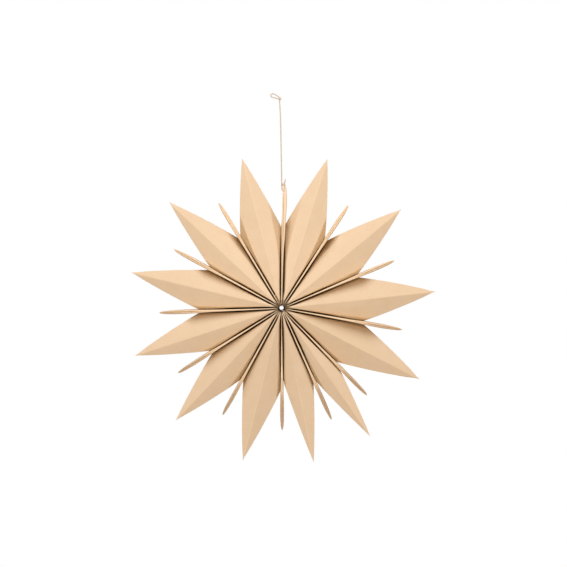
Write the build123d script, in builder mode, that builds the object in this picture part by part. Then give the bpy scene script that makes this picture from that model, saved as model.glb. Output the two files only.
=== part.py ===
from build123d import *
import os
from math import cos, pi, radians, sin, sqrt, tan

os.makedirs("parts", exist_ok=True)

# All lengths are millimetres. The hanging loop of the string is the origin, +Z is up,
# and the front of the star looks along -Y.

# paper
paper = 0.3
sleeve_depth = 65.0

# where the star's hub lies below and beside the hanging loop
hub_drop = 314.3
hub_side = 11.5
hub_radius = 3.0

# wide sleeves, one entry for each, clockwise from the top as seen from the front
wide_angle = [17.1, 50.5, 83.9, 117.3, 145.3, 168.2, 194.3, 223.3, 252.0, 283.3, 313.3, 345.2]
wide_length = [229.6, 228.4, 228.3, 229.6, 228.4, 231.1, 231.1, 226.8, 226.8, 227.1, 227.2, 227.5]
wide_slope = [17.0, 17.0, 17.0, 17.0, 21.0, 20.0, 17.5, 17.5, 17.0, 17.0, 17.0, 17.0]
mouth_before = [118.0, 116.0, 118.0, 119.0, 124.0, 118.0, 119.0, 119.0, 118.0, 117.0, 117.0, 118.0]
mouth_after = [117.0, 118.0, 117.0, 108.0, 117.0, 106.0, 118.0, 119.0, 118.0, 118.0, 118.0, 117.0]
mouth = 118.0
petal_swell = 0.05
slot = 2.3
shoulder_start = 66.0
shoulder_end = 150.0
shoulder_share = 0.31
shoulder_slope = 65.0
glue_height = 20.0

# narrow leaves between them; the first place is the ring's joint, where two end leaves meet
leaf_angle = [0.9, 33.1, 67.3, 100.3, 135.6, 155.9, 179.7, 208.8, 237.8, 267.7, 298.5, 329.1]
leaf_length = 181.0
leaf_root = 0.45
leaf_flare = 0.016
leaf_fall = 0.14
leaf_straight = 126.0
leaf_rim = 3.0
leaf_blunt = 0.9
hub_cut = 0.25
hub_round = 9.0
end_length = 179.2
end_root = 0.65
end_flare = 0.019
end_pinch = 0.86

# hanging string
string_diameter = 2.0
tie_hole = 3.0
tie_drop = 6.0
tie_knot_size = 5.4
loop_knot_size = 5.6

hub = Vector(hub_side, 0, -hub_drop)


def radial(angle):
    a = radians(angle)
    return Vector(sin(a), 0, cos(a))


def sideways(angle):
    a = radians(angle)
    return Vector(cos(a), 0, -sin(a))


def cross_plane(angle):
    """Plane across a sleeve: x runs clockwise, y runs to the back of the star."""
    return Plane(origin=hub, x_dir=sideways(angle), z_dir=radial(angle))


def front_plane(angle):
    """Plane of the star itself: x runs clockwise, y runs outwards."""
    return Plane(origin=hub, x_dir=sideways(angle), z_dir=(0, -1, 0))


def leaf_law(place):
    """Half thickness of the leaf at a place in the ring, as root and growth."""
    if place == 0:
        return end_root, end_flare
    return leaf_root, leaf_flare


def seam(r, spread, root, flare):
    """Distance from a sleeve's middle to the face of its neighbour leaf at radius r."""
    d = radians(spread)
    along = (r - root * sin(d)) / (cos(d) + flare * sin(d))
    return along * sin(d) - (root + flare * along) * cos(d)


def wide_side(r, wall, share, opening, ridge, slope):
    """Half of a wide sleeve's section: outer and inner points from shoulder to glue seam."""
    top = wall - min(opening, 0.6 * wall)
    bend = share * top
    start = ridge - bend * tan(slope)
    drop = min((top - bend) * tan(radians(shoulder_slope)), 0.75 * start)
    outer = []
    for t in (0, 0.4, 1):
        outer.append((bend + (top - bend) * t, start - drop * t ** 1.25))
    squeeze = 1 - paper / top
    inner = []
    depths = (1 / cos(slope) - bend / top * tan(slope), 0.55, 0.35)
    for (x, f), depth in zip(outer, depths):
        inner.append((x * squeeze, f - paper * depth))
    seam_height = min(glue_height / 2, 0.6 * (start - drop))
    outer.append((wall, seam_height))
    inner.append((wall - paper, seam_height))
    return outer, inner


def wide_section(before, after, ridge):
    """Closed outline of a section, front ridge first, then clockwise."""
    points = [(0, -ridge)]
    points += [(x, -f) for x, f in after]
    points += [(x, f) for x, f in reversed(after)]
    points += [(0, ridge)]
    points += [(-x, f) for x, f in before]
    points += [(-x, -f) for x, f in reversed(before)]
    return points


def leaf_section(r, length, root, flare, pinch):
    """Outer and inner outline of a leaf's section at radius r."""
    if r <= leaf_straight:
        half = root + flare * r
        height = (sleeve_depth - leaf_fall * r) * (1 - hub_cut * max(0, hub_round - r) / hub_round)
        roof = leaf_blunt * half
        cap = 0.3 * half
        swell = max(0.75 * half, paper + 0.62 * (half - paper))
        rim = 1.3 * paper
    else:
        t = (r - leaf_straight) / (length - leaf_straight)
        fullness = (1 + 0.5 * t) * sqrt(max(0, 1 - (t / pinch) ** 3))
        half = max((root + flare * leaf_straight) * fullness, 1.07 * paper)
        height = max((sleeve_depth - leaf_fall * leaf_straight) * (1 - t ** 1.35), 1.2)
        roof = min(3 + 0.11 * r, 0.6 * height)
        cap = paper
        swell = paper + 0.62 * (half - paper)
        rim = min(leaf_rim, 0.35 * roof)
    right = [(cap, height), (swell, height - 0.4 * roof), (half, height - roof)]
    outer = [(x, -f) for x, f in right] + [(x, f) for x, f in reversed(right)]
    outer += [(-x, f) for x, f in right] + [(-x, -f) for x, f in reversed(right)]
    drop = 0.6 * paper if r <= leaf_straight else 0
    right = [(swell - paper, height - 0.4 * roof - drop), (half - paper, height - roof)]
    inner = [(0, -(height - rim))] + [(x, -f) for x, f in right]
    inner += [(x, f) for x, f in reversed(right)] + [(0, height - rim)]
    inner += [(-x, f) for x, f in right] + [(-x, -f) for x, f in reversed(right)]
    return outer, inner


def tube(across, sections):
    """Straight-sided stretches of a tube, each lofted between two neighbouring sections."""
    faces = [across.offset(r) * Polygon(*points, align=None) for r, points in sections]
    return [loft([a, b], ruled=True) for a, b in zip(faces, faces[1:])]


# wide sleeves: paper tubes, closed along the front and back ridge, open at the mouth,
# with the petal's point cut out of the front and of the back
for n in range(12):
    angle = wide_angle[n]
    spread_before = angle - leaf_angle[n]
    spread_after = (leaf_angle[(n + 1) % 12] - angle) % 360
    law_before = leaf_law(n)
    law_after = leaf_law((n + 1) % 12)
    slope = radians(wide_slope[n])
    length = wide_length[n]

    # the tube starts where the ring first leaves room for its two layers
    start = hub_radius
    room = 0
    while room < 1.8 * paper:
        start += 0.05
        room = min(seam(start, spread_before, *law_before), seam(start, spread_after, *law_after))
    lean = (seam(mouth, spread_before, *law_before) + seam(mouth, spread_after, *law_after)) / 2
    fall = (1 / cos(slope) - tan(slope)) * lean / mouth

    outer_sections = []
    inner_sections = []
    stations = [
        (start, 0.7, 0.05),
        (start + 10, 0.85, slot),
        (shoulder_start, 0.93, slot),
        (mouth, 1 - shoulder_share, 0),
        (shoulder_end, 0.91 - shoulder_share, 0),
    ]
    for r, share, opening in stations:
        ridge = sleeve_depth - fall * r
        before = wide_side(r, seam(r, spread_before, *law_before), share, opening, ridge, slope)
        after = wide_side(r, seam(r, spread_after, *law_after), share, opening, ridge, slope)
        outer_sections.append((r, wide_section(before[0], after[0], ridge)))
        inner_ridge = ridge - paper / cos(slope)
        inner_sections.append((r, wide_section(before[1], after[1], inner_ridge)))
    r = length + 6
    ridge = sleeve_depth - fall * r
    tip_side = wide_side(r, 0.09 * length, 0.95, 0, ridge, slope)
    outer_sections.append((r, wide_section(tip_side[0], tip_side[0], ridge)))
    inner_ridge = ridge - paper / cos(slope)
    inner_sections.append((r, wide_section(tip_side[1], tip_side[1], inner_ridge)))

    across = cross_plane(angle)
    solid = tube(across, outer_sections)
    hollow = tube(across, inner_sections)
    with BuildPart() as wide_sleeve:
        add(solid)
        add(hollow, mode=Mode.SUBTRACT)
        left = -seam(mouth_before[n], spread_before, *law_before)
        right = seam(mouth_after[n], spread_after, *law_after)
        reach = 0.5 * length
        tip = (0, length)
        mid_left = (left * (0.5 + petal_swell), (mouth_before[n] + length) / 2)
        mid_right = (right * (0.5 + petal_swell), (mouth_after[n] + length) / 2)
        with BuildSketch(front_plane(angle)):
            with BuildLine():
                Polyline((right, mouth_after[n]), (reach, mouth_after[n]), (reach, 0))
                Line((reach, 0), (-reach, 0))
                Polyline((-reach, 0), (-reach, mouth_before[n]), (left, mouth_before[n]))
                ThreePointArc((left, mouth_before[n]), mid_left, tip)
                ThreePointArc(tip, mid_right, (right, mouth_after[n]))
            make_face()
        extrude(amount=1.5 * sleeve_depth, both=True, mode=Mode.INTERSECT)
    wide_sleeve.part.label = f"wide_sleeve_{n + 1:02d}"
    export_step(wide_sleeve.part, f"parts/wide_sleeve_{n + 1:02d}.step")


# narrow leaves: two layers glued along their edges, closed to a point
def leaf_sections(length, root, flare, pinch, side):
    """Outer and inner sections of a leaf from the hub to its tip, moved aside if asked."""
    tail = length - leaf_straight
    radii = [hub_radius, hub_round, leaf_straight]
    radii += [leaf_straight + s * tail for s in (0.2, 0.4, 0.58, 0.74, 0.87, 0.955, 1)]
    outer_sections = []
    inner_sections = []
    for r in radii:
        outer, inner = leaf_section(r, length, root, flare, pinch)
        shift = side * max(x for x, y in outer)
        outer_sections.append((r, [(x + shift, y) for x, y in outer]))
        inner_sections.append((r, [(x + shift, y) for x, y in inner]))
    return outer_sections, inner_sections[:6]


outer_sections, inner_sections = leaf_sections(leaf_length, leaf_root, leaf_flare, 1, 0)
solid = tube(Plane.XY, outer_sections)
hollow = tube(Plane.XY, inner_sections)
with BuildPart() as leaf_shape:
    add(solid)
    add(hollow, mode=Mode.SUBTRACT)

for n in range(1, 12):
    with BuildPart() as narrow_leaf:
        with Locations(cross_plane(leaf_angle[n])):
            add(leaf_shape.part)
    narrow_leaf.part.label = f"narrow_leaf_{n:02d}"
    export_step(narrow_leaf.part, f"parts/narrow_leaf_{n:02d}.step")

# the ring's two end leaves lie face to face and are tied together through one hole
end_law = (end_root / 2, end_flare / 2, end_pinch)
outer_sections, inner_sections = leaf_sections(end_length, *end_law, 1)
solid = tube(Plane.XY, outer_sections)
hollow = tube(Plane.XY, inner_sections)
with BuildPart() as end_shape:
    add(solid)
    add(hollow, mode=Mode.SUBTRACT)
    with BuildSketch(Plane.YZ):
        with Locations((0, end_length - tie_drop)):
            Circle(tie_hole / 2)
    extrude(amount=10, mode=Mode.SUBTRACT)

with BuildPart() as end_leaf_right:
    with Locations(cross_plane(leaf_angle[0])):
        add(end_shape.part)
end_leaf_right.part.label = "end_leaf_right"
export_step(end_leaf_right.part, "parts/end_leaf_right.step")

mirrored_shape = mirror(end_shape.part, about=Plane.YZ)
with BuildPart() as end_leaf_left:
    with Locations(cross_plane(leaf_angle[0])):
        add(mirrored_shape)
end_leaf_left.part.label = "end_leaf_left"
export_step(end_leaf_left.part, "parts/end_leaf_left.step")

# string: from its free end through the tie knot, round through the hole, up to the
# loop knot, and round the hanging loop back into that knot
tie_x = end_length * sin(radians(leaf_angle[0]))
hole_z = (end_length - tie_drop) * cos(radians(leaf_angle[0]))
leg = 2.0
string_points = [
    (tie_x + 2.2, hole_z + 13.6),
    (tie_x + 0.95, hole_z + 9.8),
    (tie_x + leg, hole_z + 4.5),
    (tie_x + leg, hole_z),
    (tie_x - leg, hole_z),
    (tie_x - 1.45, hole_z + 9.4),
    (-1.95, 310.6),
    (-6.6, 314.2),
    (-11.8, 317.2),
    (-15.2, 316.4),
    (-16.2, 313.9),
    (-14.4, 311.9),
    (-9.0, 310.9),
    (-3.9, 309.0),
]
route = [hub + Vector(x, 0, z) for x, z in string_points]
string_radii = []
for a, b, c in zip(route, route[1:], route[2:]):
    turn = radians((b - a).get_angle(c - b))
    string_radii.append(0.45 * min((b - a).length, (c - b).length) / tan(turn / 2))
print("string radii", [round(r, 2) for r in string_radii])

with BuildPart() as hanging_string:
    with BuildLine() as string_path:
        FilletPolyline(*route, radius=string_radii)
    with BuildSketch(Plane(origin=route[0], z_dir=route[1] - route[0])):
        Circle(string_diameter / 2)
    sweep()
length = sum(edge.length for edge in string_path.edges())
section = pi * string_diameter ** 2 / 4
print("string length", round(length, 2))
print("string volume", round(hanging_string.part.volume, 2), "expected", round(section * length, 2))
hanging_string.part.label = "hanging_string"
export_step(hanging_string.part, "parts/hanging_string.step")

# the two knots, each a small lump round the strands that run through it
with BuildPart() as tie_knot:
    with Locations(hub + Vector(tie_x - 0.25, 0, hole_z + 9.6)):
        Sphere(tie_knot_size / 2, rotation=(20, 35, 50))
    add(hanging_string.part, mode=Mode.SUBTRACT)
tie_knot.part.label = "tie_knot"
export_step(tie_knot.part, "parts/tie_knot.step")

with BuildPart() as loop_knot:
    with Locations(hub + Vector(-2.9, 0, 309.6)):
        Sphere(loop_knot_size / 2, rotation=(20, 35, 50))
    add(hanging_string.part, mode=Mode.SUBTRACT)
loop_knot.part.label = "loop_knot"
export_step(loop_knot.part, "parts/loop_knot.step")
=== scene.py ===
from math import cos, pi, radians, sin, tan

import bmesh
import bpy
from mathutils import Matrix, Vector, noise


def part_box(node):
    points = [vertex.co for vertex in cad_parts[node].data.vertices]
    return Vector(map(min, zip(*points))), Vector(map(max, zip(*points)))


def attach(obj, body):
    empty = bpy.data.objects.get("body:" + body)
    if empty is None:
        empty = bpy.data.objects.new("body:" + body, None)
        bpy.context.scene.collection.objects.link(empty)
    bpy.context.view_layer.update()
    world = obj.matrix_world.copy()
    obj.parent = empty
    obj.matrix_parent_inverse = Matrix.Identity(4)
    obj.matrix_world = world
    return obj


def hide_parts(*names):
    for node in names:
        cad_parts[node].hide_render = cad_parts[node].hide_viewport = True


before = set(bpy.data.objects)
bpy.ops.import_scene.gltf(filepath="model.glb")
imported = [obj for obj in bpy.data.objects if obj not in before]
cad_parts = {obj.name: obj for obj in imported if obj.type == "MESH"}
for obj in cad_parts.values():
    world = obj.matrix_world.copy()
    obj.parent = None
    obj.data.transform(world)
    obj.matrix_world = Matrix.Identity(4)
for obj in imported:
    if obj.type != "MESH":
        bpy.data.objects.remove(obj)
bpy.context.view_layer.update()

mm = 0.001


# what all the pieces share, in millimetres
star = {
    "hub": Vector((11.5, 0, -314.3)),
    "hubRadius": 3.0,
    "halfDepth": 65.0,
    "paper": 0.3,
    "pitRadius": 10.0,
    "pitDepth": 40.0,
}


def hubPit(r):
    # the paper's corners fall back towards the hole, where the thread gathers them
    inward = max(0, star["pitRadius"] - r) / (star["pitRadius"] - star["hubRadius"])
    return star["pitDepth"] * inward ** 2


def hexToLinear(colour):
    channels = [int(colour[i:i + 2], 16) / 255 for i in (1, 3, 5)]
    return [c / 12.92 if c < 0.04045 else ((c + 0.055) / 1.055) ** 2.4 for c in channels] + [1]


def addNode(tree, kind, settings=None, links=None):
    # a key is a setting's or a socket's name, or a socket's number
    node = tree.nodes.new(kind)
    for key, value in (settings or {}).items():
        if isinstance(key, str) and hasattr(node, key) and key not in node.inputs:
            setattr(node, key, value)
        else:
            node.inputs[key].default_value = value
    for key, source in (links or {}).items():
        tree.links.new(source, node.inputs[key])
    return node


def startMaterial(name):
    material = bpy.data.materials.new(name)
    material.use_nodes = True
    material.node_tree.nodes.clear()
    return material, material.node_tree


# uncoated kraft paper, made from unbleached pulp: matt and pale brown, a little cloudy, with stray
# fibres and a few flecks, and a painted highlight along the creases and the leaves' front edges
kraftPaper = {
    "lit": "#EEDEC4",
    "fleck": "#B98F62",
    "fibre": "#F5ECD9",
    "cloud": "#E7D2B3",
    # painted highlight along the sleeves' ridges and the leaves' front edges
    "creaseHighlight": "#FFECCE",
    "cloudSize": 16.0,     # the pulp's uneven thickness
    "cloudShare": 0.32,    # how much of each colour shows where it is strongest
    "fibreWidth": 0.55,    # real fibres are 0.03 mm wide, drawn coarser so that they show
    "fibreShare": 0.36,
    "fleckSize": 1.4,
    "fleckShare": 0.34,
    "cockleSize": 22.0,    # cockling: the sheet's own gentle waves
    "cockleHeight": 0.9,
    "toothHeight": 0.12,
    "roughness": 0.86,
}


def kraftMaterial(name, values, creaseHighlightStrength):
    material, tree = startMaterial(name)
    place = addNode(tree, "ShaderNodeTexCoord").outputs["Object"]
    clouds = addNode(tree, "ShaderNodeTexNoise",
                     {"Scale": 1 / (values["cloudSize"] * mm), "Detail": 3.0, "Roughness": 0.6},
                     {"Vector": place})
    fibres = addNode(tree, "ShaderNodeTexNoise",
                     {"Scale": 0.45 / (values["fibreWidth"] * mm), "Detail": 2.0,
                      "Roughness": 0.7, "Distortion": 1.6},
                     {"Vector": place})
    flecks = addNode(tree, "ShaderNodeTexVoronoi", {"Scale": 1 / (3.2 * values["fleckSize"] * mm)},
                     {"Vector": place})
    fleckShare = addNode(tree, "ShaderNodeMapRange",
                         {"From Min": 0.05, "From Max": 0.13, "To Min": values["fleckShare"],
                          "To Max": 0.0},
                         {"Value": flecks.outputs["Distance"]})
    cloudShare = addNode(tree, "ShaderNodeMapRange",
                         {"From Min": 0.35, "From Max": 0.68, "To Min": 0.0,
                          "To Max": values["cloudShare"]},
                         {"Value": clouds.outputs["Fac"]})
    fibreShare = addNode(tree, "ShaderNodeMapRange",
                         {"From Min": 0.5, "From Max": 0.75, "To Min": 0.0,
                          "To Max": values["fibreShare"]},
                         {"Value": fibres.outputs["Fac"]})
    # the painted highlight, where the sheets' attribute marks the creases and front edges
    creaseHighlight = addNode(tree, "ShaderNodeAttribute", {"attribute_name": "creaseHighlight"})
    creaseHighlightShare = addNode(tree, "ShaderNodeMapRange",
                          {"From Min": 0.0, "From Max": 1.0, "To Min": 0.0,
                           "To Max": creaseHighlightStrength},
                          {"Value": creaseHighlight.outputs["Fac"]})
    under = None
    for colour, share in (("cloud", cloudShare), ("fibre", fibreShare),
                          ("fleck", fleckShare), ("creaseHighlight", creaseHighlightShare)):
        # each colour lies over the ones before it
        mixed = addNode(tree, "ShaderNodeMix",
                        {"data_type": "RGBA", 7: hexToLinear(values[colour])},
                        {0: share.outputs["Result"]})
        if under:
            tree.links.new(under, mixed.inputs[6])
        else:
            mixed.inputs[6].default_value = hexToLinear(values["lit"])
        under = mixed.outputs[2]
    cockle = addNode(tree, "ShaderNodeTexNoise",
                     {"Scale": 1 / (values["cockleSize"] * mm), "Detail": 1.0},
                     {"Vector": place})
    wave = addNode(tree, "ShaderNodeBump", {"Strength": 0.5, "Distance": values["cockleHeight"] * mm},
                   {"Height": cockle.outputs["Fac"]})
    tooth = addNode(tree, "ShaderNodeBump", {"Strength": 0.35, "Distance": values["toothHeight"] * mm},
                    {"Height": fibres.outputs["Fac"], "Normal": wave.outputs["Normal"]})
    shader = addNode(tree, "ShaderNodeBsdfPrincipled",
                     {"Roughness": values["roughness"], "Specular IOR Level": 0.0},
                     {"Base Color": under, "Normal": tooth.outputs["Normal"]})
    addNode(tree, "ShaderNodeOutputMaterial", None, {"Surface": shader.outputs["BSDF"]})
    return material


print("materials")
paperSkin = kraftMaterial("kraftPaperFolded", kraftPaper, 0.9)
cutEdge = dict(kraftPaper, lit="#F3E6CE", cloud="#EAD9BA", fibre="#FCF3E2")
paperEdge = kraftMaterial("kraftPaperCutEdge", cutEdge, 0.0)

# undyed cotton twine, twisted from three strands: matt and a little fuzzy, with painted shade in
# patches that follow the fuzz noise
twineLook = {
    "thread": "#F2EDE3",
    "hollow": "#C9BDAA",
    "fibreWidth": 0.25,    # drawn coarser than cotton's 0.02 mm, so that it shows
    "fuzzHeight": 0.1,
    "roughness": 0.9,
}


def twineMaterial(name, values):
    material, tree = startMaterial(name)
    place = addNode(tree, "ShaderNodeTexCoord").outputs["Object"]
    fuzz = addNode(tree, "ShaderNodeTexNoise",
                   {"Scale": 0.5 / (values["fibreWidth"] * mm), "Detail": 3.0,
                    "Distortion": 0.8},
                   {"Vector": place})
    share = addNode(tree, "ShaderNodeMapRange",
                    {"From Min": 0.35, "From Max": 0.7, "To Min": 0.0, "To Max": 0.7},
                    {"Value": fuzz.outputs["Fac"]})
    # painted shade, laid over the thread in patches of the fuzz noise
    mixed = addNode(tree, "ShaderNodeMix",
                    {"data_type": "RGBA", 6: hexToLinear(values["thread"]),
                     7: hexToLinear(values["hollow"])},
                    {0: share.outputs["Result"]})
    relief = addNode(tree, "ShaderNodeBump",
                     {"Strength": 0.6, "Distance": values["fuzzHeight"] * mm},
                     {"Height": fuzz.outputs["Fac"]})
    shader = addNode(tree, "ShaderNodeBsdfPrincipled",
                     {"Roughness": values["roughness"], "Sheen Weight": 0.25,
                      "Sheen Roughness": 0.5},
                     {"Base Color": mixed.outputs[2], "Normal": relief.outputs["Normal"]})
    addNode(tree, "ShaderNodeOutputMaterial", None, {"Surface": shader.outputs["BSDF"]})
    return material


twineSkin = twineMaterial("cottonTwineUndyed", twineLook)


# the string: its route first, then the strands that follow it
hangingString = {
    "diameter": 2.0,
    "length": 184.3,
    "layLength": 7.0,
    "plies": 3,
    # across and up from the hub: the tail above the tie, the hole, the long run and the loop
    "points": [
        (5.7, 190.3), (4.3, 184.5), (4.815, 178.2), (4.815, 173.179),
        (0.6, 173.179), (0.35, 182.579), (-1.8, 310.6), (-6.6, 314.2),
        (-11.8, 317.2), (-15.2, 316.4), (-16.2, 313.9), (-14.4, 311.9),
        (-9.0, 310.9), (-3.9, 309.0),
    ],
}


def meshFromCurve(curve):
    holder = bpy.data.objects.new(curve.name, curve)
    bpy.context.scene.collection.objects.link(holder)
    bpy.context.view_layer.update()
    evaluated = holder.evaluated_get(bpy.context.evaluated_depsgraph_get())
    mesh = bpy.data.meshes.new_from_object(evaluated)
    bpy.data.objects.remove(holder)
    bpy.data.curves.remove(curve)
    return mesh


def routePoints(name, points, closed=False):
    curve = bpy.data.curves.new(name, "CURVE")
    curve.dimensions = "3D"
    curve.resolution_u = 24
    spline = curve.splines.new("NURBS")
    spline.points.add(len(points) - 1)
    for target, point in zip(spline.points, points):
        target.co = (*point, 1)
    spline.order_u = 3
    spline.use_endpoint_u = not closed
    spline.use_cyclic_u = closed
    mesh = meshFromCurve(curve)
    found = [v.co.copy() for v in mesh.vertices]
    bpy.data.meshes.remove(mesh)
    return found


stepsPerLay = 14    # points along a strand for each turn of its twist


def evenPoints(points, step):
    spots = [points[0]]
    for nextPoint in points[1:]:
        while (nextPoint - spots[-1]).length > step:
            spots.append(spots[-1] + (nextPoint - spots[-1]).normalized() * step)
    return spots


def twistedStrands(name, points, diameter, layLength, plies):
    # each ply is a round strand that winds about the route once per lay length
    strandRadius = diameter / 2 / (1 + 1 / sin(pi / plies))
    spread = diameter / 2 - strandRadius
    spots = evenPoints(points, layLength / stepsPerLay)
    sideways = Vector((0, 1, 0))
    rails = [[] for ply in range(plies)]
    travelled = 0
    for i, spot in enumerate(spots):
        ahead = (spots[min(i + 1, len(spots) - 1)] - spots[max(i - 1, 0)]).normalized()
        sideways = (sideways - ahead * sideways.dot(ahead)).normalized()
        other = ahead.cross(sideways)
        if i:
            travelled += (spot - spots[i - 1]).length
        for ply in range(plies):
            turn = 2 * pi * (travelled / layLength + ply / plies)
            rails[ply].append(spot + (sideways * cos(turn) + other * sin(turn)) * spread)
    curve = bpy.data.curves.new(name, "CURVE")
    curve.dimensions = "3D"
    curve.bevel_depth = strandRadius
    curve.bevel_resolution = 2
    curve.use_fill_caps = True
    for rail in rails:
        spline = curve.splines.new("POLY")
        spline.points.add(len(rail) - 1)
        for target, point in zip(spline.points, rail):
            target.co = (*point, 1)
    mesh = meshFromCurve(curve)
    mesh.name = name
    mesh.materials.clear()
    mesh.materials.append(twineSkin)
    mesh.shade_smooth()
    piece = bpy.data.objects.new(name, mesh)
    bpy.context.scene.collection.objects.link(piece)
    return piece, spots


print("hanging string")
stringControl = [(star["hub"] + Vector((x, 0, z))) * mm for x, z in hangingString["points"]]
stringRoute = routePoints("stringRoute", stringControl)
twine, twinePath = twistedStrands("hangingTwine", stringRoute, hangingString["diameter"] * mm,
                                  hangingString["layLength"] * mm, hangingString["plies"])
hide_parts("hanging_string")
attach(twine, "root")

knots = {
    "tieKnot": {"node": "tie_knot", "size": 2.1, "turn": (80, 20, 0)},
    "loopKnot": {"node": "loop_knot", "size": 2.1, "turn": (60, -35, 30)},
}
knotTwine = {
    "diameter": 1.9,
    "layLength": 6.0,
    "plies": 3,
    "loopPoints": 18,
}
for knotName, values in knots.items():
    low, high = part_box(values["node"])
    middle = (low + high) / 2
    spin = [Matrix.Rotation(radians(a), 3, axis) for a, axis in zip(values["turn"], "XYZ")]
    loop = []
    for i in range(knotTwine["loopPoints"]):
        # a trefoil, whose formula reaches about 3 from its middle
        t = 2 * pi * i / knotTwine["loopPoints"]
        spot = Vector((sin(t) + 2 * sin(2 * t), cos(t) - 2 * cos(2 * t), -1.4 * sin(3 * t)))
        spot = spin[2] @ spin[1] @ spin[0] @ spot
        loop.append(middle + spot * values["size"] / 3 * mm)
    turns = routePoints(knotName + "Route", loop, closed=True)
    knot = twistedStrands(knotName, turns + turns[:1], knotTwine["diameter"] * mm,
                          knotTwine["layLength"] * mm, knotTwine["plies"])[0]
    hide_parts(values["node"])
    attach(knot, "root")


def sleeveFrame(turn):
    # local x runs clockwise, y to the back of the star, z outwards from the hub
    a = radians(turn)
    axes = Matrix(((cos(a), 0, sin(a)), (0, 1, 0), (-sin(a), 0, cos(a)))).to_4x4()
    return Matrix.Translation(star["hub"] * mm) @ axes @ Matrix.Scale(mm, 4)


def between(r, stops):
    # the value at the radius r, in straight runs from one stop to the next
    for (a, low), (b, high) in zip(stops, stops[1:]):
        if r <= b:
            return low + (high - low) * max(0, r - a) / (b - a)
    return stops[-1][1]


def newSheet(across, along):
    # a flat sheet with across by along cells, which the fold then shapes
    sheet = bmesh.new()
    sheet.loops.layers.uv.new("sheet")
    sheet.verts.layers.float.new("creaseHighlight")
    sheet.verts.layers.float.new("half")
    bmesh.ops.create_grid(sheet, x_segments=across, y_segments=along, size=1, calc_uvs=True)
    spots = [(round((v.co.x + 1) / 2 * across), round((v.co.y + 1) / 2 * along), v)
             for v in sheet.verts]
    return sheet, spots


def finishSheet(name, sheet, turn, replaced):
    bmesh.ops.transform(sheet, matrix=sleeveFrame(turn), verts=sheet.verts)
    mesh = bpy.data.meshes.new(name)
    sheet.to_mesh(mesh)
    sheet.free()
    mesh.materials.append(paperSkin)
    mesh.materials.append(paperEdge)
    mesh.shade_smooth()
    piece = bpy.data.objects.new(name, mesh)
    bpy.context.scene.collection.objects.link(piece)
    wall = piece.modifiers.new("paperThickness", "SOLIDIFY")
    wall.thickness = star["paper"] * mm
    wall.offset = -1
    wall.use_even_offset = True
    wall.material_offset_rim = 1
    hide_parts(replaced)
    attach(piece, "root")
    return piece


# narrow leaves between the sleeves: two layers glued along their edges, closed to a point
# the values that end in Fade are the stretches over which something gives way
narrowLeaf = {
    "turns": [33.1, 67.3, 100.3, 135.6, 155.9, 179.7, 208.8, 237.8, 267.7, 298.5, 329.1],
    "length": 181.0,
    "root": 0.45,
    "flare": 0.016,
    "fall": 0.14,
    "straight": 126.0,
    "tipCurve": 1.35,
    "tipHeight": 1.2,
    "roof": 0.8,
    "thinnest": 1.07,      # the least half thickness, in layers of paper
    "glueReach": 0.07,     # how far the glued strip reaches into the sleeve's wall
    "glueEnd": 128.0,
    "glueFade": 12.0,
    "groove": 2.2,         # between the two layers, beyond the glue
    "grooveStart": 112.0,
    "grooveSpan": 70.0,
    "wave": 0.2,
    "waveLength": 34.0,
    # strength of the painted highlight on the front edge along the leaf, fading where the layers part
    "worn": [(112, 1.0), (132, 0.3)],
    "lowest": 5,           # which of the turns, counted from 0, points down
    # half the thickness near the front and back edges, along the leaf
    "front": [(0, 0.34), (44, 0.78), (73, 1.1), (103, 1.5), (118, 2.1), (126, 2.45), (140, 2.76),
              (153, 2.9), (167, 2.58), (175, 1.94), (179, 1.18), (181, 0.35)],
    "seamShift": [(0, 0)],
    "sunk": [(0, 0)],
}
# the two end leaves lie side by side, held at mid depth as far as the sleeves are glued
endLeaf = dict(narrowLeaf, turn=0.9, length=182.6, root=0.325, flare=0.0095, groove=0.0,
               heldHeight=14.0, heightFade=12.0, heldEnd=118.0, endFade=10.0, layersApart=0.04,
               seamShift=[(60, 0.95), (115, 0.45)])
# the right one has sprung open and its tip leans over, the left one lies flat against it
endLeafRight = dict(endLeaf, front=[(0, 0.34), (40, 0.4), (63, 0.55), (92, 1.0), (115, 1.66),
                                    (140, 2.2), (158, 2.6), (169, 2.3), (175, 1.7), (178, 1.2),
                                    (182.6, 0.35)],
                    seamShift=[(60, 0.95), (115, 0.45), (168, 0.45), (182.6, 2.6)])
endLeafLeft = dict(endLeaf, front=[(0, 0.34), (63, 0.44), (92, 0.6), (115, 0.74), (140, 0.88),
                                   (166, 0.85), (177, 0.65), (182.6, 0.35)])


def leafSize(values, r):
    # half thickness at the glue, half thickness near the edges, and half height, at the radius r
    straight = values["straight"]
    edgeHalf = max(between(r, values["front"]), values["thinnest"] * star["paper"])
    glued = values["root"] + values["flare"] * min(r, straight) + values["glueReach"]
    held = min(1, max(0, (values["glueEnd"] - r) / values["glueFade"]))
    glued = edgeHalf + (max(glued, edgeHalf) - edgeHalf) * held
    if r <= straight:
        height = star["halfDepth"] - values["fall"] * r - hubPit(r)
    else:
        t = min(1, (r - straight) / (values["length"] - straight))
        height = (star["halfDepth"] - values["fall"] * straight) * (1 - t ** values["tipCurve"])
    return glued, edgeHalf, max(height, values["tipHeight"])


# places across one layer: 0 is the front edge, 1 the end of the flat fold, 2 the foot of the
# rounded edge, 3 mid depth
leafAcross = [0, 0.1, 0.22, 0.36, 0.6, 0.8, 1, 1.12, 1.28, 1.48, 1.72, 2, 2.15, 2.3, 2.45, 2.6,
              2.75, 3]
# places along a leaf, closer together where it bends
leafAlong = [3, 4.5, 6.5, 9, 15, 28, 45, 65, 85, 92, 97, 103, 116, 122, 126, 130, 134, 138, 143,
             149, 155, 161, 166.5, 171.5, 175.5, 178.5, 180.2, 181]


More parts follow.
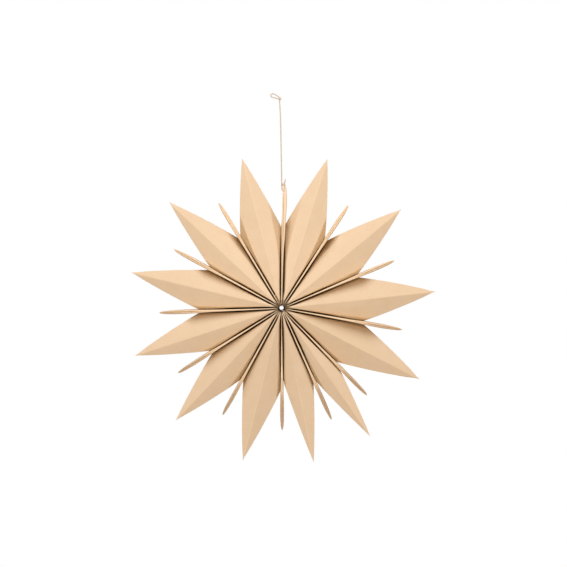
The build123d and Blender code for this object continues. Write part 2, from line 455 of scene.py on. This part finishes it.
def foldLeaf(name, values, turn, replaced, side=0):
    # side is 1 or -1 for an end leaf, which lies to the right or left of their seam
    count = len(leafAcross) - 1
    sheet, spots = newSheet(2 * count, len(leafAlong) - 1)
    creaseHighlightLayer = sheet.verts.layers.float["creaseHighlight"]
    halfLayer = sheet.verts.layers.float["half"]
    for i, j, vert in spots:
        r = leafAlong[j] * values["length"] / leafAlong[-1]
        place = leafAcross[min(i, 2 * count - i)]
        glued, half, height = leafSize(values, r)
        height -= between(r, values["sunk"]) if i <= count else 0
        roof = min(values["roof"] * half, 0.6 * height)
        down = min(1, max(0, place - 1))
        widening = min(1, max(0, (place - 2.15) / 0.45))
        half += (glued - half) * widening
        # beyond the glue the two layers part a little, with a groove between them
        parted = min(1, max(0, (r - values["grooveStart"]) / values["grooveSpan"]))
        groove = values["groove"] * sin(pi * parted) ** 0.5
        x = place * 0.5 * half if place < 1 else half * (1 - 0.5 * (1 - down) ** 1.7)
        inward = roof * down + (height - roof) * max(0, place - 2)
        inward += groove * max(0, 1 - place / 0.5)
        if place > 1:
            wave = noise.noise(Vector((r / values["waveLength"], i * 0.2, turn)))
            x += values["wave"] * wave * min(1, half) * down * (1 - widening)
        depth = height - inward
        vert.co = (x, -depth if i <= count else depth, r)
        # painted highlight on the flat front edge, thinning out down the rounded edge
        highlightHere = between(r, values["worn"])
        vert[creaseHighlightLayer] = highlightHere * (1 if place <= 1 else max(0, 1 - 4 * (place - 1)))
        vert[halfLayer] = half if side else 0
    right = sheet.verts[:] + sheet.edges[:] + sheet.faces[:]
    bmesh.ops.mirror(sheet, geom=right, axis="X", merge_dist=0.001)
    bmesh.ops.recalc_face_normals(sheet, faces=sheet.faces)
    sheet.faces.ensure_lookup_table()
    widest = max(sheet.faces, key=lambda f: f.calc_center_median().x)
    if widest.normal.x < 0:
        bmesh.ops.reverse_faces(sheet, faces=sheet.faces)
    if side:
        for vert in sheet.verts:
            free = ((abs(vert.co.y) - values["heldHeight"]) / values["heightFade"]
                    + (vert.co.z - values["heldEnd"]) / values["endFade"])
            shift = between(vert.co.z, values["seamShift"]) * min(1, max(0, free))
            vert.co.x += side * (vert[halfLayer] + values["layersApart"]) + shift
    return finishSheet(name, sheet, turn, replaced)


print("narrow leaves")
sunkenLeaf = dict(narrowLeaf, sunk=[(0, 13), (92, 13), (97, 0)])    # the lowest one sits deeper
for i, turn in enumerate(narrowLeaf["turns"]):
    values = sunkenLeaf if i == narrowLeaf["lowest"] else narrowLeaf
    foldLeaf(f"narrowLeaf{i + 1:02d}", values, turn, f"narrow_leaf_{i + 1:02d}")
foldLeaf("endLeafRight", endLeafRight, endLeaf["turn"], "end_leaf_right", 1)
foldLeaf("endLeafLeft", endLeafLeft, endLeaf["turn"], "end_leaf_left", -1)


# wide sleeves: paper tubes with a ridge at the front and back, open at the mouth, with the
# petal's point cut out of the front and of the back
wideSleeve = {
    "closest": 1.8,        # the least half width at the hub, in layers of paper
    "slot": 2.5,           # beside each leaf, between it and the shoulder
    # wider slots and shoulders: sleeve, then 0 for its side before and 1 for its side after
    "wideSlots": {(0, 0): 3.7, (4, 1): 3.0, (5, 0): 3.0, (5, 1): 3.3, (6, 0): 3.3},
    "shoulderShare": 0.16,
    "wideShoulders": {(0, 0): 0.46, (0, 1): 0.31, (1, 0): 0.3, (2, 0): 0.13, (4, 1): 0.26,
                      (5, 0): 0.2, (7, 0): 0.22, (8, 1): 0.13, (10, 1): 0.31, (11, 0): 0.31,
                      (11, 1): 0.375},
    "shoulderSlope": 65.0,
    "shoulderCurve": 1.12,
    "shoulderStart": 66,
    "mouth": 118,
    "shoulderEnd": 150,
    "swell": 0.05,
    "glueHeight": 20.0,
    "wallRoom": 0.05,
    "bulge": 0.55,
    "bulgeLength": 55.0,
    "waver": 0.3,
    "waverLength": 80.0,
    "sink": 0.3,
    "ridgeWear": 0.18,
    "creaseWidths": (0.0, 0.5, 1.3),
    # how much painted highlight each column of the crease carries
    "creaseHighlightShades": (1.0, 0.8, 0.0),
    # the painted highlight along the ridge: its strength from here on, and at the tip
    "highlightFrom": (90, 0.75),
    "highlightAtTip": 0.35,
    # turn, length, slope, mouth on the side before and after, clockwise from the top
    "places": [
        (17.1, 229.6, 17.0, 118, 117), (50.5, 228.4, 17.0, 116, 118),
        (83.9, 228.3, 17.0, 118, 117), (117.3, 229.6, 17.0, 119, 108),
        (145.3, 228.4, 21.0, 124, 117), (168.2, 231.1, 20.0, 118, 106),
        (194.3, 231.1, 17.5, 119, 118), (223.3, 226.8, 17.5, 119, 119),
        (252.0, 226.8, 17.0, 118, 118), (283.3, 227.1, 17.0, 117, 118),
        (313.3, 227.2, 17.0, 117, 118), (345.2, 227.5, 17.0, 118, 117),
    ],
}
leafTurns = [endLeaf["turn"]] + narrowLeaf["turns"]
# places across one side: 0 is the ridge, 1 the facet's end, 2 the shoulder's foot, 3 the glue
sideAcross = [0, 0.012, 0.04, 0.15, 0.3, 0.45, 0.6, 0.75, 0.88, 0.97, 1, 1.04, 1.14, 1.26, 1.4,
              1.55, 1.7, 1.85, 2, 2.35, 2.7, 3, 4]
# shares of the way from the hub to the sleeve's cut edge
sleeveAlong = [0, 0.02, 0.05, 0.09, 0.14, 0.19, 0.24, 0.29, 0.34, 0.39, 0.44, 0.49, 0.54, 0.59,
               0.64, 0.69, 0.74, 0.79, 0.84, 0.885, 0.925, 0.96, 0.985, 0.996, 1]


def leafFace(r, spread, law):
    # distance from a sleeve's middle to the face of the leaf beside it
    d = radians(spread)
    along = (r - law[0] * sin(d)) / (cos(d) + law[1] * sin(d))
    return along * sin(d) - (law[0] + law[1] * along) * cos(d)


def leafLaw(place):
    # half thickness at the hub and its growth: both end leaves together stand at place 0
    if place == 0:
        return 2 * endLeaf["root"], 2 * endLeaf["flare"]
    return narrowLeaf["root"], narrowLeaf["flare"]


def sleeveFold(side, place, r):
    # across and forward distance of one place of the fold at the radius r
    start, slot, shoulder = side["start"], side["slot"], side["shoulder"]
    inner, mouth, outer = (wideSleeve[key] for key in ("shoulderStart", "mouth", "shoulderEnd"))
    wall = leafFace(r, side["spread"], side["law"])
    opening = between(r, [(start, 1.6), (start + 10, slot), (inner, slot), (mouth, 0)])
    # the share of the width that the facet takes, which the shoulder leaves
    share = between(r, [(start, 0.7), (start + 10, 0.85), (inner, 0.93),
                        (mouth, 1 - shoulder), (outer, 0.91 - shoulder)])
    slope = tan(side["slope"])
    ridge = star["halfDepth"] - side["fall"] * r
    top = wall - min(opening, 0.6 * wall)
    bend = share * top
    edge = ridge - bend * slope
    drop = min((top - bend) * tan(radians(wideSleeve["shoulderSlope"])), 0.75 * edge)
    foot = edge - drop
    if place <= 1:
        x = place * bend
        return x, ridge - x * slope
    if place <= 2:
        t = place - 1
        return bend + (top - bend) * t, edge - drop * t ** wideSleeve["shoulderCurve"]
    seamHeight = min(wideSleeve["glueHeight"] / 2, 0.6 * foot)
    if place <= 3:
        t = place - 2
        return top + (wall - top) * t, foot + (seamHeight - foot) * t
    return wall, seamHeight * (4 - place)


def columnEnd(side, place):
    # where a column of the fold meets the petal's cut edge
    if place >= 2:
        return side["mouth"]
    low, high = side["mouth"], side["length"]
    for step in range(30):
        r = (low + high) / 2
        t = (r - side["mouth"]) / (side["length"] - side["mouth"])
        edge = side["wallAtMouth"] * (1 - t) * (1 + 4 * wideSleeve["swell"] * t)
        if sleeveFold(side, place, r)[0] < edge:
            low = r
        else:
            high = r
    return (low + high) / 2


def foldSleeve(number, values):
    turn, length, slopeAngle, mouthBefore, mouthAfter = values
    spreads = [turn - leafTurns[number], (leafTurns[(number + 1) % 12] - turn) % 360]
    laws = [leafLaw(number), leafLaw((number + 1) % 12)]
    start = star["hubRadius"]
    narrowest = wideSleeve["closest"] * star["paper"]
    while min(leafFace(start, s, w) for s, w in zip(spreads, laws)) < narrowest:
        start += 0.05
    slope = radians(slopeAngle)
    # the ridge falls as it does on a tube whose folds are parallel
    lean = sum(leafFace(wideSleeve["mouth"], s, w) for s, w in zip(spreads, laws)) / 2
    fall = (1 / cos(slope) - tan(slope)) * lean / wideSleeve["mouth"]
    halves = []
    for k, (spread, law, mouth) in enumerate(zip(spreads, laws, (mouthBefore, mouthAfter))):
        shoulder = wideSleeve["wideShoulders"].get((number, k), wideSleeve["shoulderShare"])
        slot = wideSleeve["wideSlots"].get((number, k), wideSleeve["slot"])
        side = {"start": start, "spread": spread, "law": law, "slot": slot, "shoulder": shoulder,
                "mouth": mouth, "length": length, "slope": slope, "fall": fall,
                "wallAtMouth": leafFace(mouth, spread, law)}
        side["ends"] = [columnEnd(side, place) for place in sideAcross]
        halves.append(side)
    count = len(sideAcross) - 1
    sheet, spots = newSheet(2 * count, len(sleeveAlong) - 1)
    creaseHighlightLayer = sheet.verts.layers.float["creaseHighlight"]
    for i, j, vert in spots:
        column = abs(i - count)
        side = halves[0] if i < count else halves[1]
        place = sideAcross[column]
        r = start + (side["ends"][column] - start) * sleeveAlong[j]
        x, forward = sleeveFold(side, place, r)
        if column in (1, 2):
            # the crease's rounded strip keeps its width all along the ridge
            x = min(x, wideSleeve["creaseWidths"][column])
            forward = star["halfDepth"] - fall * r - x * tan(slope)
        reach = min(1, r / 90)
        soft = noise.noise(
            Vector((r / wideSleeve["bulgeLength"], i / count * 1.3, number * 7.3)))
        belly = sin(pi * min(1, place)) if place < 1 else 0
        forward += (wideSleeve["bulge"] * (0.35 + soft) * belly) * reach
        forward -= wideSleeve["ridgeWear"] if column == 0 else 0
        forward -= hubPit(r) if place <= 2 else 0
        if place < 2:
            sway = noise.noise(Vector((r / wideSleeve["waverLength"], number * 3.1, 0.5)))
            forward += wideSleeve["waver"] * reach * sway - wideSleeve["sink"] * reach
        x = x - wideSleeve["wallRoom"] if place >= 3 else x
        vert.co = (-x if i < count else x, -forward, r)
        # painted highlight on the ridge's crease, weaker towards the tip
        worn = between(r, [wideSleeve["highlightFrom"], (length, wideSleeve["highlightAtTip"])])
        vert[creaseHighlightLayer] = wideSleeve["creaseHighlightShades"][column] * worn if column < 3 else 0.0
    front = sheet.verts[:] + sheet.edges[:] + sheet.faces[:]
    bmesh.ops.mirror(sheet, geom=front, axis="Y", merge_dist=0.001)
    bmesh.ops.recalc_face_normals(sheet, faces=sheet.faces)
    sheet.faces.ensure_lookup_table()
    foremost = min(sheet.faces, key=lambda f: f.calc_center_median().y)
    if foremost.normal.y > 0:
        bmesh.ops.reverse_faces(sheet, faces=sheet.faces)
    return finishSheet(f"wideSleeve{number + 1:02d}", sheet, turn,
                       f"wide_sleeve_{number + 1:02d}")


print("wide sleeves")
for number, values in enumerate(wideSleeve["places"]):
    foldSleeve(number, values)


# room and lights, in metres and watts
room = {
    "floorHeight": -1.0,
    "floorRadius": 2.2,
    "floorColour": "#C9C8C6",
    "floorFleck": "#D3D2D0",
    "floorSpeckles": 60.0,    # across the floor's width
    "floorGlow": 0.5,
    "worldColour": "#FFCB9C",
    "worldStrength": 0.4,
    "keyPlace": (-0.15, -2.8, 3.0),
    "keySize": 2.6,
    "keyPower": 134.0,
    "keyColour": "#FFFDFA",
    "backPlace": (0.5, 2.8, 2.4),
    "backPower": 70.0,
}

# the camera, straight in front, with the star as large in the frame as in the photo, in metres
photoView = {
    "middle": (0.0144, 0, -0.2783),    # the point that is in the middle of the frame
    "distance": 3.2,
    "sensorWidth": 36.0,               # in millimetres, as the lens is
    "frameWidth": 0.833,               # what the frame takes in at the star's front
    "frontDistance": 3.175,
}


def seenDirectly(tree):
    # 1 for what is seen, mirrored or looked through, and 0 for what only lights the star
    rays = addNode(tree, "ShaderNodeLightPath")
    seen = addNode(tree, "ShaderNodeMath", {"operation": "MAXIMUM"},
                   {0: rays.outputs["Is Camera Ray"], 1: rays.outputs["Is Glossy Ray"]})
    seenToo = addNode(tree, "ShaderNodeMath", {"operation": "MAXIMUM"},
                      {0: seen.outputs[0], 1: rays.outputs["Is Transmission Ray"]})
    return seenToo.outputs[0]


print("room")
scene = bpy.context.scene
scene.view_settings.view_transform = "Standard"

# a floor painted in matt grey: even and pale, with the star's shadow on it
floorMaterial, tree = startMaterial("paintedFloorMatt")
speckle = addNode(tree, "ShaderNodeTexNoise", {"Scale": room["floorSpeckles"], "Detail": 2.0})
floorTone = addNode(tree, "ShaderNodeMix",
                    {"data_type": "RGBA", 6: hexToLinear(room["floorColour"]),
                     7: hexToLinear(room["floorFleck"])},
                    {0: speckle.outputs["Fac"]})
floorShader = addNode(tree, "ShaderNodeBsdfDiffuse", None, {"Color": floorTone.outputs[2]})
floorLift = addNode(tree, "ShaderNodeMath", {"operation": "MULTIPLY", 1: room["floorGlow"]},
                    {0: seenDirectly(tree)})
floorGlow = addNode(tree, "ShaderNodeEmission", {"Color": (1, 1, 1, 1)},
                    {"Strength": floorLift.outputs[0]})
floorSum = addNode(tree, "ShaderNodeAddShader", None,
                   {0: floorShader.outputs["BSDF"], 1: floorGlow.outputs["Emission"]})
addNode(tree, "ShaderNodeOutputMaterial", None, {"Surface": floorSum.outputs["Shader"]})
floorSheet = bmesh.new()
bmesh.ops.create_circle(floorSheet, cap_ends=True, segments=96, radius=room["floorRadius"])
bmesh.ops.translate(floorSheet, vec=(0, 0, room["floorHeight"]), verts=floorSheet.verts)
floorMesh = bpy.data.meshes.new("floor")
floorSheet.to_mesh(floorMesh)
floorMesh.materials.append(floorMaterial)
floor = bpy.data.objects.new("floor", floorMesh)
scene.collection.objects.link(floor)

world = bpy.data.worlds.new("studioWorld")
scene.world = world
world.use_nodes = True
world.node_tree.nodes.clear()
tree = world.node_tree
ambient = addNode(tree, "ShaderNodeBackground",
                  {"Color": hexToLinear(room["worldColour"]), "Strength": room["worldStrength"]})
white = addNode(tree, "ShaderNodeBackground", {"Color": (1, 1, 1, 1), "Strength": 1.0})
sky = addNode(tree, "ShaderNodeMixShader", None,
              {"Fac": seenDirectly(tree), 1: ambient.outputs[0], 2: white.outputs[0]})
addNode(tree, "ShaderNodeOutputWorld", None, {"Surface": sky.outputs[0]})

starMiddle = Vector(photoView["middle"])
for lampName, place, power in (("keySoftbox", room["keyPlace"], room["keyPower"]),
                               ("backSoftbox", room["backPlace"], room["backPower"])):
    lamp = bpy.data.lights.new(lampName, "AREA")
    lamp.shape = "SQUARE"
    lamp.size = room["keySize"]
    lamp.energy = power
    lamp.color = hexToLinear(room["keyColour"])[:3]
    softbox = bpy.data.objects.new(lampName, lamp)
    softbox.location = starMiddle + Vector(place)
    softbox.rotation_euler = (starMiddle - softbox.location).to_track_quat("-Z", "Y").to_euler()
    scene.collection.objects.link(softbox)

cameraData = bpy.data.cameras.new("photoCamera")
cameraData.sensor_width = photoView["sensorWidth"]
cameraData.lens = photoView["sensorWidth"] * photoView["frontDistance"] / photoView["frameWidth"]
cameraData.clip_start = 0.05
cameraData.clip_end = 50
camera = bpy.data.objects.new("photoCamera", cameraData)
camera.location = starMiddle + Vector((0, -photoView["distance"], 0))
camera.rotation_euler = (radians(90), 0, 0)
scene.collection.objects.link(camera)
scene.camera = camera

print("finish")
